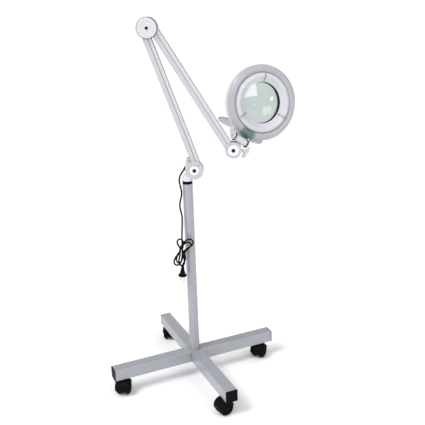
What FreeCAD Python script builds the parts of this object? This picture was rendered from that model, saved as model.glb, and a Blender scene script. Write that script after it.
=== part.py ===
import FreeCAD, Part
import math
import os

# Magnifying floor lamp: a lit round magnifier on a two-stage balanced arm, on a four-wheeled cross base.
#
# Frame, in millimetres: the origin is on the post's axis at floor level, Z is up, and the arm swings in
# the XZ plane with the lens on the +X side. The user stands on the -Y side.

Vector = FreeCAD.Vector
X_AXIS = Vector(1, 0, 0)
Y_AXIS = Vector(0, 1, 0)
Z_AXIS = Vector(0, 0, 1)
OUT = "parts"
RUNNING = 0.05          # radial clearance of every turning pin
OPEN_PIVOT = 0.3        # radial clearance at the pin where a linkage closes on itself

# ---- rolling base ----
TUBE = 38.0             # side of the square base tube
TUBE_WALL = 1.5
TUBE_TOP = 90.25
TUBE_REACH = 281.7      # post axis to the bare end of a tube
CAP_PLATE = 3.0
CAP_DEPTH = 16.0
CROSS_TURN = 25.0       # azimuth of the right-hand stub
ARM_NAMES = ("right", "back", "left", "front")

# ---- post ----
POST_R = 15.9
POST_WALL = 1.5
POST_TOP = 664.0
PLUG_HEIGHT = 22.0
POST_BOLT_R = 5.0
BUSH_R = 15.5
BUSH_FLANGE = 9.6
BUSH_DEPTH = 44.0
SPIGOT_R = 8.0
SPIGOT_DEPTH = 36.0

# ---- twin-wheel casters ----
CASTER_REACH = 250.0
CASTER_HEADINGS = {"right": -120.0, "back": 90.0, "left": -95.0, "front": -150.0}
CASTER_TRAIL = 12.0
WHEEL_R = 23.0
WHEEL_WIDTH = 14.0
HOOD_CORE = 15.0
HOOD_R = 26.4
HOOD_WIDTH = 49.0
HOOD_BOSS_R = 6.8
STEM_R = 4.0
AXLE_R = 3.0

# ---- arm layers, measured from the arm's middle plane ----
OUTER_Y = 10.5          # outer channel, half width
OUTER_SHEET = 1.0
INNER_Y = 9.2           # inner channel, half width
INNER_SHEET = 1.0
PLATE_IN = 10.9
PLATE_OUT = 12.9
ARM_PIN_R = 2.5
BOLT_R = 3.0
BOLT_HEAD_R = 5.4

# ---- pivots in the arm plane, (x, z) ----
BRACKET_BOLT = (23.1, 706.9)
STOP_SCREW = (9.4, 737.8)
ELBOW_BOLT = (-97.0, 1128.8)
KNUCKLE_BOLT = (143.5, 766.2)
LOWER_LEAN = 19.0       # lower arm, degrees left of vertical
LOWER_LENGTH = 414.0
LOWER_PIVOT = (25.7, 722.0)
LOWER_SPREAD = 12.3     # between the two lower pivots
UPPER_LEAN = 31.0       # upper arm, degrees right of straight down
UPPER_PIVOT = (-84.3, 1122.4)
UPPER_SPREAD = 13.6
UPPER_SPREAD_TILT = 50.0
UPPER_LENGTH = 410.0
CHANNEL_END_R = 6.9
WEB_OFFSET = 6.5        # outer face of the outer channel's web, from its pivots
WEB_OFFSET_INNER = 6.0

# ---- joint discs ----
BRACKET_DISC_R = 28.5
ELBOW_DISC_R = 30.5
ELBOW_COVER_R = 29.2
ELBOW_GASKET = 1.2
ELBOW_COVER_DEPTH = 4.4
KNUCKLE_DISC_R = 25.0

# ---- head joint ----
SWIVEL_TILT = 37.3      # swivel axis, degrees right of vertical
SOCKET_R = 7.4
SOCKET_TOP = 25.2
STEM_PIN_R = 5.0
BARREL_AT = 35.6        # swivel axis: knuckle bolt to barrel axis
BARREL_R = 10.0
BARREL_HALF = 21.0
WASHER_R = 12.3
WASHER_THICK = 3.0
EAR_THICK = 4.0
KNOB_ALONG = 15.0
KNOB_START = 32.6
KNOB_DEPTH = 9.0

# ---- head, in its own frame: centre of the rim, Z out of the lit side, Y away from the arm ----
HEAD_CENTRE = Vector(237.3, 54.8, 897.9)
HEAD_AZIMUTH = -65.9
HEAD_ELEVATION = 6.6
HEAD_ROLL = -126.0      # direction of the neck seen from the lit side
RIM_R = 114.5
SHELL_WALL = 2.2
SHELL_BACK = -32.0
COLLAR_R = 66.0         # raised collar round the eyepiece
TERMINAL_FROM = -102.0   # separate moulding of the front cover over the terminals
TERMINAL_TO = -69.0
LENS_R = 63.5
LENS_OPENING = 61.5
LENS_SEAT = -18.0
LENS_EDGE = 3.7
LENS_CURVE = 346.0
RING_LIP_Z = -6.0       # underside of the lens ring's inner lip
LAMP_RING_R = 97.0
LAMP_TUBE_R = 9.5
LAMP_Z = -14.5
DUST_COVER_R = 67.5
DUST_HINGE_R = 75.5     # hinge line to the lens axis
DUST_HINGE_TURN = 8.5   # hinge line, degrees round the rim from the neck
DUST_HINGE_Z = -38.6
DUST_OPEN = 93.5
SWITCH_X = 47.0
SWITCH_Y = -89.0
CLIP_ANGLES = (117.0, 240.0, 359.0)
CRADLE_ANGLES = (30.0, 150.0, 215.0)

# ---- mains lead ----
CORD_R = 2.6
CORD_ROUTE = [
    (-6.0, 0.0, 711.5),
    (-21.0, -1.0, 694.0),
    (-26.0, -4.5, 675.0),
    (-21.5, -10.0, 655.0),
    (-17.5, -14.0, 635.0),
    (-24.0, -14.5, 613.0),
    (-27.0, -13.5, 592.0),
    (-21.0, -15.0, 569.0),
    (-20.5, -17.5, 545.0),
    (-22.5, -20.5, 520.0),
    (-24.0, -25.0, 488.0),
]
HANK_FRONT = -46.8
HANK_BACK = -22.0
PLUG_TOP = (-24.5, -33.0, 407.0)
PLUG_TIP = (-27.0, -33.0, 369.0)
PLUG_TURN = -55.0


# ---------------------------------------------------------------- helpers
def cylinder(base, axis, radius, height):
    return Part.makeCylinder(radius, height, Vector(*base), Vector(*axis))


def fuse(shapes):
    joined = shapes[0]
    if len(shapes) > 1:
        joined = shapes[0].multiFuse(shapes[1:])
    return joined.removeSplitter()


def polar(radius, degrees):
    turn = math.radians(degrees)
    return radius * math.cos(turn), radius * math.sin(turn)


def frame(origin, x_dir, z_dir):
    """Placement whose local X and Z run along x_dir and z_dir."""
    z = Vector(*z_dir).normalize()
    y = z.cross(Vector(*x_dir)).normalize()
    x = y.cross(z)
    matrix = FreeCAD.Matrix(
        x.x, y.x, z.x, origin[0],
        x.y, y.y, z.y, origin[1],
        x.z, y.z, z.z, origin[2],
        0, 0, 0, 1,
    )
    return FreeCAD.Placement(matrix)


def placed(shape, placement):
    moved = shape.copy()
    moved.Placement = placement.multiply(shape.Placement)
    return moved


def edge_loop(points):
    """Closed wire through points. A point with a fourth value is the middle of an arc."""
    edges = []
    count = len(points)
    index = 0
    while index < count:
        start = Vector(*points[index][:3])
        after = points[(index + 1) % count]
        if len(after) > 3:
            end = Vector(*points[(index + 2) % count][:3])
            edges.append(Part.Arc(start, Vector(*after[:3]), end).toShape())
            index += 2
        else:
            edges.append(Part.LineSegment(start, Vector(*after[:3])).toShape())
            index += 1
    return Part.Wire(edges)


def revolved(profile):
    """Turns a closed (radius, z) profile about Z. A third value marks an arc's middle point."""
    points = [(p[0], 0.0, p[1], 1) if len(p) > 2 else (p[0], 0.0, p[1]) for p in profile]
    face = Part.Face(edge_loop(points))
    return face.revolve(Vector(0, 0, 0), Z_AXIS, 360)


def extruded(profile, depth_from, depth_to):
    """Closed (x, y) profile drawn out along Z."""
    points = [(p[0], p[1], depth_from, 1) if len(p) > 2 else (p[0], p[1], depth_from) for p in profile]
    return Part.Face(edge_loop(points)).extrude(Vector(0, 0, depth_to - depth_from))


def hull_plate(circles, y_from, y_to):
    """Plate in the arm plane around circles (x, z, radius), tangent from each one to the next."""
    depth = y_to - y_from
    pieces = [cylinder((x, y_from, z), (0, 1, 0), r, depth) for x, z, r in circles]
    count = len(circles)
    pairs = [(i, (i + 1) % count) for i in range(count if count > 2 else 1)]
    for a, b in pairs:
        xa, za, ra = circles[a]
        xb, zb, rb = circles[b]
        span = math.hypot(xb - xa, zb - za)
        heading = math.atan2(zb - za, xb - xa)
        lean = math.acos((ra - rb) / span)
        corners = []
        for side in (1, -1):
            turn = heading + side * lean
            corners.append(Vector(xa + ra * math.cos(turn), y_from, za + ra * math.sin(turn)))
            corners.append(Vector(xb + rb * math.cos(turn), y_from, zb + rb * math.sin(turn)))
        loop = [corners[0], corners[1], corners[3], corners[2], corners[0]]
        pieces.append(Part.Face(Part.makePolygon(loop)).extrude(Vector(0, depth, 0)))
    if count > 2:
        core = [Vector(x, y_from, z) for x, z, _ in circles]
        pieces.append(Part.Face(Part.makePolygon(core + core[:1])).extrude(Vector(0, depth, 0)))
    return fuse(pieces)


def mirrored_pair(make, inner, outer):
    """The same plate in front of and behind the arm: (front, rear)."""
    return make(-outer, -inner), make(inner, outer)


def sector(angle_from, angle_to, radius, z_from, z_to):
    slice_ = Part.makeCylinder(radius, z_to - z_from, Vector(0, 0, z_from), Z_AXIS, angle_to - angle_from)
    slice_.rotate(Vector(0, 0, 0), Z_AXIS, angle_from)
    return slice_


def save(name, *solids):
    shape = solids[0] if len(solids) == 1 else Part.makeCompound(list(solids))
    if not shape.isValid():
        print("INVALID", name)
    shape.exportStep(os.path.join(OUT, name + ".step"))


# ---------------------------------------------------------------- arm geometry
def lean_left(degrees):
    """Unit vectors of an arm that leans left: along it upwards, and across it to the right."""
    turn = math.radians(degrees)
    return (-math.sin(turn), math.cos(turn)), (math.cos(turn), math.sin(turn))


def lean_down_right(degrees):
    """Unit vectors of an arm that hangs down to the right: along it, and across it to the right."""
    turn = math.radians(degrees)
    return (math.sin(turn), -math.cos(turn)), (math.cos(turn), math.sin(turn))


def shift(point, direction, distance):
    return point[0] + direction[0] * distance, point[1] + direction[1] * distance


LOWER_ALONG, LOWER_ACROSS = lean_left(LOWER_LEAN)
UPPER_ALONG, UPPER_ACROSS = lean_down_right(UPPER_LEAN)
LOWER_PIVOT_2 = (LOWER_PIVOT[0] + LOWER_SPREAD, LOWER_PIVOT[1])
LOWER_END = shift(LOWER_PIVOT, LOWER_ALONG, LOWER_LENGTH)
LOWER_END_2 = shift(LOWER_PIVOT_2, LOWER_ALONG, LOWER_LENGTH)
SPREAD_X, SPREAD_Z = polar(UPPER_SPREAD, UPPER_SPREAD_TILT)
UPPER_PIVOT_2 = (UPPER_PIVOT[0] + SPREAD_X, UPPER_PIVOT[1] + SPREAD_Z)
UPPER_END = shift(UPPER_PIVOT, UPPER_ALONG, UPPER_LENGTH)
UPPER_END_2 = shift(UPPER_PIVOT_2, UPPER_ALONG, UPPER_LENGTH)

SWIVEL_X = math.sin(math.radians(SWIVEL_TILT))
SWIVEL_Z = math.cos(math.radians(SWIVEL_TILT))
KNUCKLE = (KNUCKLE_BOLT[0], 0.0, KNUCKLE_BOLT[1])
# local X points right and down across the swivel axis, local Z runs up it
SWIVEL_FRAME = frame(KNUCKLE, (SWIVEL_Z, 0, -SWIVEL_X), (SWIVEL_X, 0, SWIVEL_Z))


def head_frame():
    azimuth = math.radians(HEAD_AZIMUTH)
    elevation = math.radians(HEAD_ELEVATION)
    normal = Vector(
        math.cos(elevation) * math.cos(azimuth),
        math.cos(elevation) * math.sin(azimuth),
        math.sin(elevation),
    )
    level = Vector(-normal.y, normal.x, 0).normalize()
    upright = normal.cross(level)
    cos_roll, sin_roll = polar(1.0, HEAD_ROLL)
    tangent = level * -sin_roll + upright * cos_roll
    return frame(HEAD_CENTRE, tangent, normal), tangent


HEAD, HEAD_TANGENT = head_frame()
BARREL = SWIVEL_FRAME.multVec(Vector(0, 0, BARREL_AT))
BARREL_IN_HEAD = HEAD.inverse().multVec(BARREL)
# local Z runs along the barrel, local X up the swivel axis
BARREL_FRAME = frame(BARREL, (SWIVEL_X, 0, SWIVEL_Z), HEAD_TANGENT)


# ---------------------------------------------------------------- base
def square_tube(length, outer, wall):
    """Tube along +X from the origin, centred on it, with small outer corner radii."""
    half = outer / 2
    body = Part.makeBox(length, outer, outer, Vector(0, -half, -half))
    long_edges = [e for e in body.Edges if abs(e.tangentAt(e.FirstParameter).x) > 0.99]
    body = body.makeFillet(2.0, long_edges)
    inner = half - wall
    bore = Part.makeBox(length + 2, 2 * inner, 2 * inner, Vector(-1, -inner, -inner))
    return body.cut(bore)


def base_placement(azimuth, distance):
    x, y = polar(1.0, azimuth)
    level = TUBE_TOP - TUBE / 2
    return frame((x * distance, y * distance, level), (x, y, 0), (0, 0, 1))


def make_base():
    azimuths = {name: CROSS_TURN + 90.0 * i for i, name in enumerate(ARM_NAMES)}
    stem_hole = STEM_R + 0.2
    stems = [polar(CASTER_REACH, azimuths[name]) for name in ARM_NAMES]
    holes = [cylinder((x, y, TUBE_TOP - TUBE - 1), (0, 0, 1), stem_hole, TUBE_WALL + 2) for x, y in stems]
    through = placed(square_tube(2 * TUBE_REACH, TUBE, TUBE_WALL), base_placement(azimuths["front"], -TUBE_REACH))
    bolt_hole = cylinder((0, 0, TUBE_TOP - TUBE - 1), (0, 0, 1), POST_BOLT_R + 0.2, TUBE + 2)
    save("base_cross_tube", through.cut(Part.makeCompound(holes + [bolt_hole])))
    stubs = []
    for name in ("left", "right"):
        stub = square_tube(TUBE_REACH - TUBE / 2, TUBE, TUBE_WALL)
        stub = placed(stub, base_placement(azimuths[name], TUBE / 2))
        stubs.append(stub.cut(Part.makeCompound(holes)))
    save("base_side_tubes", *stubs)
    inner = TUBE / 2 - TUBE_WALL
    caps = []
    for name in ARM_NAMES:
        half = TUBE / 2
        face = Part.makeBox(CAP_PLATE, TUBE, TUBE, Vector(0, -half, -half))
        rim = [e for e in face.Edges if abs(e.tangentAt(e.FirstParameter).x) > 0.99]
        face = face.makeFillet(2.0, rim)
        skirt = Part.makeBox(CAP_DEPTH, 2 * inner, 2 * inner, Vector(-CAP_DEPTH, -inner, -inner))
        hollow = inner - 2.0
        skirt = skirt.cut(Part.makeBox(CAP_DEPTH, 2 * hollow, 2 * hollow, Vector(-CAP_DEPTH, -hollow, -hollow)))
        caps.append(placed(fuse([face, skirt]), base_placement(azimuths[name], TUBE_REACH)))
    save("end_caps", *caps)
    return azimuths


def make_post():
    height = POST_TOP - TUBE_TOP
    inner = POST_R - POST_WALL
    tube = cylinder((0, 0, TUBE_TOP), (0, 0, 1), POST_R, height)
    save("post_tube", tube.cut(cylinder((0, 0, TUBE_TOP), (0, 0, 1), inner, height)))
    underside = TUBE_TOP - TUBE
    plug = cylinder((0, 0, TUBE_TOP), (0, 0, 1), inner, PLUG_HEIGHT)
    shank_length = TUBE + PLUG_HEIGHT - 4
    plug = plug.cut(cylinder((0, 0, TUBE_TOP - 1), (0, 0, 1), POST_BOLT_R, PLUG_HEIGHT - 3))
    shank = cylinder((0, 0, underside - 1.6), (0, 0, 1), POST_BOLT_R, shank_length + 1.6)
    head = Part.makePolygon([Vector(*polar(8.5, 60 * i), underside - 8.0) for i in range(7)])
    head = Part.Face(head).extrude(Vector(0, 0, 6.4))
    washer = cylinder((0, 0, underside - 1.6), (0, 0, 1), 12.0, 1.6)
    washer = washer.cut(cylinder((0, 0, underside - 2), (0, 0, 1), POST_BOLT_R, 3))
    save("post_foot_bolt", plug, fuse([shank, head]), washer)
    bush = fuse([
        cylinder((0, 0, POST_TOP), (0, 0, 1), BUSH_R, BUSH_FLANGE),
        cylinder((0, 0, POST_TOP - BUSH_DEPTH), (0, 0, 1), inner, BUSH_DEPTH + 1),
    ])
    bore = cylinder((0, 0, POST_TOP - BUSH_DEPTH - 1), (0, 0, 1), SPIGOT_R + RUNNING, BUSH_DEPTH + 20)
    save("post_bush", bush.cut(bore))


# ---------------------------------------------------------------- casters
def caster_wheel(side):
    """One wheel on +Y or -Y of the hood's core, with a dished outer face."""
    near = HOOD_CORE / 2 + 0.6
    profile = [
        (AXLE_R, near),
        (WHEEL_R - 2.0, near),
        (WHEEL_R, near + 2.0),
        (WHEEL_R, near + WHEEL_WIDTH - 7.0),
        (WHEEL_R - 1.7, near + WHEEL_WIDTH - 2.4, "arc"),
        (WHEEL_R - 6.5, near + WHEEL_WIDTH),
        (WHEEL_R - 8.5, near + WHEEL_WIDTH - 2.0),
        (9.0, near + WHEEL_WIDTH - 2.0),
        (7.0, near + WHEEL_WIDTH),
        (AXLE_R, near + WHEEL_WIDTH),
    ]
    wheel = revolved(profile)
    wheel.rotate(Vector(0, 0, 0), X_AXIS, -90 * side)
    return wheel


def hood_fender():
    """Shell over the tops of both wheels, about the axle along Y, rounded down at its two sides."""
    half = HOOD_WIDTH / 2
    shell = revolved([
        (HOOD_R, -14.0), (HOOD_R, 14.0), (HOOD_R - 1.7, 20.6, "arc"), (HOOD_R - 6.6, half),
        (HOOD_R - 8.3, half - 1.1), (HOOD_R - 3.5, 19.6, "arc"), (HOOD_R - 2.0, 14.0),
        (HOOD_R - 2.0, -14.0), (HOOD_R - 3.5, -19.6, "arc"), (HOOD_R - 8.3, 1.1 - half),
        (HOOD_R - 6.6, -half), (HOOD_R - 1.7, -20.6, "arc"),
    ])
    shell.rotate(Vector(0, 0, 0), X_AXIS, 90)
    return shell


def make_casters(azimuths):
    underside = TUBE_TOP - TUBE
    stems = []
    for name in ARM_NAMES:
        x, y = polar(CASTER_REACH, azimuths[name])
        heading = polar(1.0, CASTER_HEADINGS[name])
        place = frame((x, y, 0), (heading[0], heading[1], 0), (0, 0, 1))
        axle = (CASTER_TRAIL, 0, WHEEL_R)
        core = cylinder((CASTER_TRAIL, -HOOD_CORE / 2, WHEEL_R), (0, 1, 0), HOOD_R, HOOD_CORE)
        fender = hood_fender()
        fender.translate(Vector(*axle))
        below = Part.makeBox(90, 90, 60, Vector(-30, -45, -60))
        below.rotate(Vector(0, 0, 0), Y_AXIS, 14)
        below.translate(Vector(CASTER_TRAIL, 0, WHEEL_R + 3.0))
        fender = fender.cut(below)
        chin = Part.makeBox(80, 40, 20, Vector(-25, -20, -4.0))
        core = core.cut(chin)
        boss = cylinder((0, 0, WHEEL_R - 6), (0, 0, 1), HOOD_BOSS_R, 26.0)
        crown = Part.makeCone(15.0, 12.5, 5.2, Vector(0, 0, underside - 0.5 - 5.2), Z_AXIS)
        hood = fuse([core, fender, boss, crown])
        stem_bore = cylinder((0, 0, underside - 24.6), (0, 0, 1), STEM_R + RUNNING, 40)
        axle_bore = cylinder((CASTER_TRAIL, -30, WHEEL_R), (0, 1, 0), AXLE_R + RUNNING, 60)
        hood = hood.cut(stem_bore).cut(axle_bore)
        save("caster_hood_" + name, placed(hood, place))
        wheels = []
        for side in (1, -1):
            wheel = caster_wheel(side)
            wheel.translate(Vector(*axle))
            wheels.append(wheel)
        reach = HOOD_CORE / 2 + 0.6 + WHEEL_WIDTH
        rod = cylinder((CASTER_TRAIL, -reach, WHEEL_R), (0, 1, 0), AXLE_R, 2 * reach)
        save("caster_wheels_" + name, *[placed(s, place) for s in wheels + [rod]])
        stem = cylinder((0, 0, underside - 24.2), (0, 0, 1), STEM_R, 24.2 + TUBE_WALL + 9.0)
        nut = Part.makePolygon([Vector(*polar(7.5, 60 * i), underside + TUBE_WALL) for i in range(7)])
        nut = Part.Face(nut).extrude(Vector(0, 0, 6.5))
        stems.append(placed(fuse([stem, nut]), place))
    save("caster_stems", *stems)


# ---------------------------------------------------------------- swivelling bracket on the post
def bolt_along_y(centre, half_length, head_r, head_depth, nut_r):
    """Socket-head bolt through both plates with its nut behind."""
    x, z = centre
    head = cylinder((x, -half_length - head_depth, z), (0, 1, 0), head_r, head_depth)
    shank = cylinder((x, -half_length, z), (0, 1, 0), BOLT_R, 2 * half_length)
    nut = Part.makePolygon([Vector(x + p[0], half_length, z + p[1]) for p in [polar(nut_r, 60 * i) for i in range(7)]])
    nut = Part.Face(nut).extrude(Vector(0, 5.0, 0))
    bolt = fuse([head, shank, nut])
    socket = Part.makePolygon([
        Vector(x + p[0], -half_length - head_depth, z + p[1]) for p in [polar(2.6, 60 * i) for i in range(7)]
    ])
    return bolt.cut(Part.Face(socket).extrude(Vector(0, head_depth * 0.7, 0)))


def washer_along_y(centre, inner_r, outer_r, y_from, thickness):
    x, z = centre
    disc = cylinder((x, y_from, z), (0, 1, 0), outer_r, thickness)
    return disc.cut(cylinder((x, y_from - 1, z), (0, 1, 0), inner_r, thickness + 2))


def pin_along_y(centre, radius, half_length):
    return cylinder((centre[0], -half_length, centre[1]), (0, 1, 0), radius, 2 * half_length)


def make_bracket():
    outline = [
        (BRACKET_BOLT[0], BRACKET_BOLT[1], BRACKET_DISC_R),
        (STOP_SCREW[0] - 1.4, STOP_SCREW[1] - 2.6, 10.0),
    ]
    pins = [LOWER_PIVOT, LOWER_PIVOT_2]
    holes = [pin_along_y(p, ARM_PIN_R, 20) for p in pins]
    holes.append(pin_along_y(BRACKET_BOLT, BOLT_R, 20))
    holes.append(pin_along_y(STOP_SCREW, 2.0, 20))
    front, rear = mirrored_pair(lambda a, b: hull_plate(outline, a, b), PLATE_IN, PLATE_OUT)
    cut = Part.makeCompound(holes)
    save("bracket_plates", front.cut(cut), rear.cut(cut))
    neck_base = POST_TOP + BUSH_FLANGE + 0.2
    neck = revolved([
        (0.0, neck_base),
        (16.6, neck_base),
        (16.6, neck_base + 4.0),
        (14.5, neck_base + 9.0, "arc"),
        (10.9, neck_base + 19.0),
        (0.0, neck_base + 19.0),
    ])
    block = hull_plate([
        (0.0, neck_base + 14.0, 10.4),
        (8.0, 701.0, 9.5),
        (28.0, 701.0, 9.5),
    ], -PLATE_IN, PLATE_IN)
    bore = pin_along_y(BRACKET_BOLT, BOLT_R, 20)
    spigot = cylinder((0, 0, POST_TOP - SPIGOT_DEPTH), (0, 0, 1), SPIGOT_R, SPIGOT_DEPTH + BUSH_FLANGE + 6)
    save("bracket_neck", fuse([neck, block, spigot]).cut(bore).cut(front).cut(rear))
    washer = washer_along_y(BRACKET_BOLT, BOLT_R, 14.0, -PLATE_OUT - 1.6, 1.6)
    washer_rear = washer_along_y(BRACKET_BOLT, BOLT_R, 14.0, PLATE_OUT, 1.6)
    bolt = bolt_along_y(BRACKET_BOLT, PLATE_OUT + 1.6, BOLT_HEAD_R, 3.6, 5.6)
    save("bracket_bolt", bolt)
    save("bracket_washers", washer, washer_rear)
    sleeve = pin_along_y(STOP_SCREW, 3.0, PLATE_IN)
    screw = pin_along_y(STOP_SCREW, 2.0, PLATE_OUT)
    heads = [
        cylinder((STOP_SCREW[0], -PLATE_OUT - 2.0, STOP_SCREW[1]), (0, 1, 0), 3.6, 2.0),
        cylinder((STOP_SCREW[0], PLATE_OUT, STOP_SCREW[1]), (0, 1, 0), 3.6, 2.0),
    ]
    stop = fuse([sleeve, screw] + heads)
    save("bracket_pins", stop, *[pin_along_y(p, ARM_PIN_R, PLATE_OUT) for p in pins])


# ---------------------------------------------------------------- arm channels and springs
def channel(length, half_width, sheet, web_from, web_to, open_to, far_clearance):
    """U channel along local +Z between its pivots at 0 and length. Local X runs across the arm.

    The web spans web_from to web_to. The flanges run from the web to open_to, and end in round lobes.
    """
    low, high = min(web_from, open_to), max(web_to, open_to)
    solids = [Part.makeBox(web_to - web_from, 2 * half_width, length, Vector(web_from, -half_width, 0))]
    for side in (-1, 1):
        y_from = side * half_width - (sheet if side > 0 else 0)
        solids.append(Part.makeBox(high - low, sheet, length, Vector(low, y_from, 0)))
        for level in (0.0, length):
            lobe = cylinder((0, y_from, level), (0, 1, 0), CHANNEL_END_R, sheet)
            lobe = lobe.common(Part.makeBox(high - low, 60, 60, Vector(low, -30, level - 30)))
            solids.append(lobe)
    body = fuse(solids)
    for level, clearance in ((0.0, RUNNING), (length, far_clearance)):
        body = body.cut(cylinder((0, -30, level), (0, 1, 0), ARM_PIN_R + clearance, 60))
    return body


def arm_placement(pivot, across, along):
    return frame((pivot[0], 0, pivot[1]), (across[0], 0, across[1]), (along[0], 0, along[1]))


def outer_channel(pivot, across, along, length):
    body = channel(length, OUTER_Y, OUTER_SHEET, -WEB_OFFSET, -WEB_OFFSET + 1.0, CHANNEL_END_R - 0.2, RUNNING)
    return placed(body, arm_placement(pivot, across, along))


def inner_channel(pivot, across, along, length):
    web = WEB_OFFSET_INNER
    body = channel(length, INNER_Y, INNER_SHEET, web - 1.0, web, -CHANNEL_END_R + 0.2, OPEN_PIVOT)
    return placed(body, arm_placement(pivot, across, along))


def springs(pivot, across, along, from_s, to_s, middle):
    """Two close-wound extension springs side by side inside the arm, with their end hooks."""
    place = arm_placement(pivot, across, along)
    solids = []
    for side in (-1, 1):
        coil = cylinder((middle, side * 3.9, from_s + 12), (0, 0, 1), 3.3, to_s - from_s - 24)
        coil = coil.cut(cylinder((middle, side * 3.9, from_s + 11), (0, 0, 1), 2.3, to_s - from_s - 22))
        hooks = []
        for level, step in ((from_s, 12.2), (to_s, -12.2)):
            wire = cylinder((middle, side * 3.9 + 2.8, min(level, level + step)), (0, 0, 1), 0.5, abs(step))
            hooks.append(wire)
        solids.append(placed(fuse([coil] + hooks), place))
    return solids


def make_arms():
    save("lower_arm_outer", outer_channel(LOWER_PIVOT, LOWER_ACROSS, LOWER_ALONG, LOWER_LENGTH))
    save("lower_arm_inner", inner_channel(LOWER_PIVOT_2, LOWER_ACROSS, LOWER_ALONG, LOWER_LENGTH))
    save("lower_springs", *springs(LOWER_PIVOT, LOWER_ACROSS, LOWER_ALONG, 22, 230, 5.6))
    save("upper_arm_outer", outer_channel(UPPER_PIVOT, UPPER_ACROSS, UPPER_ALONG, UPPER_LENGTH))
    save("upper_arm_inner", inner_channel(UPPER_PIVOT_2, UPPER_ACROSS, UPPER_ALONG, UPPER_LENGTH))
    save("upper_springs", *springs(UPPER_PIVOT, UPPER_ACROSS, UPPER_ALONG, 24, 232, 6.2))


# ---------------------------------------------------------------- elbow
def cover_cap(centre, y_base, direction):
    """Domed round cover over a joint, its rim rounded, standing out along direction."""
    depth = ELBOW_COVER_DEPTH
    cap = revolved([
        (BOLT_R, 0.0),
        (ELBOW_COVER_R, 0.0),
        (ELBOW_COVER_R, depth * 0.45),
        (ELBOW_COVER_R - 0.9, depth * 0.8, "arc"),
        (ELBOW_COVER_R - 3.0, depth),
        (19.5, depth + 0.3),
        (18.5, depth - 0.4),
        (BOLT_R, depth),
    ])
    return placed(cap, frame((centre[0], y_base, centre[1]), (1, 0, 0), (0, direction, 0)))


def make_elbow():
    pins = [LOWER_END, LOWER_END_2, UPPER_PIVOT, UPPER_PIVOT_2]
    holes = Part.makeCompound([pin_along_y(p, ARM_PIN_R, 20) for p in pins] + [pin_along_y(ELBOW_BOLT, BOLT_R, 20)])
    x, z = ELBOW_BOLT
    plates = []
    for y_from in (-PLATE_OUT, PLATE_IN):
        disc = cylinder((x, y_from, z), (0, 1, 0), ELBOW_COVER_R, PLATE_OUT - PLATE_IN)
        plates.append(disc.cut(holes))
    save("elbow_plates", *plates)
    gaskets = [
        washer_along_y(ELBOW_BOLT, 24.0, ELBOW_DISC_R, -PLATE_OUT - ELBOW_GASKET, ELBOW_GASKET),
        washer_along_y(ELBOW_BOLT, 24.0, ELBOW_DISC_R, PLATE_OUT, ELBOW_GASKET),
    ]
    save("elbow_gaskets", *gaskets)
    face = PLATE_OUT + ELBOW_GASKET
    save("elbow_covers", cover_cap(ELBOW_BOLT, -face, -1), cover_cap(ELBOW_BOLT, face, 1))
    spacer = washer_along_y(ELBOW_BOLT, BOLT_R, 5.0, -PLATE_IN, 2 * PLATE_IN)
    bolt = bolt_along_y(ELBOW_BOLT, face + ELBOW_COVER_DEPTH, 4.2, 2.0, 5.6)
    save("elbow_bolt", bolt, spacer)
    save("elbow_pins", *[pin_along_y(p, ARM_PIN_R, PLATE_OUT) for p in pins])


# ---------------------------------------------------------------- knuckle and swivel at the head
def star_knob():
    """Four-lobed clamping knob and its screw, along local X of the swivel frame."""
    lobes = []
    for i in range(4):
        y, z = polar(12.0, 90.0 * i)
        lobes.append(cylinder((KNOB_START, y, z), (1, 0, 0), 6.6, KNOB_DEPTH))
    lobes.append(cylinder((KNOB_START, 0, 0), (1, 0, 0), 10.5, KNOB_DEPTH))
    for turn in (0, 90):
        bar = Part.makeBox(KNOB_DEPTH, 24.0, 9.0, Vector(KNOB_START, -12.0, -4.5))
        bar.rotate(Vector(0, 0, 0), X_AXIS, turn)
        lobes.append(bar)
    screw = cylinder((STEM_PIN_R + RUNNING + 0.3, 0, 0), (1, 0, 0), 3.0, KNOB_START + 1)
    hub = cylinder((KNOB_START - 8.0, 0, 0), (1, 0, 0), 6.0, 9.0)
    knob = fuse(lobes + [screw, hub])
    knob.translate(Vector(0, 0, KNOB_ALONG))
    return placed(knob, SWIVEL_FRAME)


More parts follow.
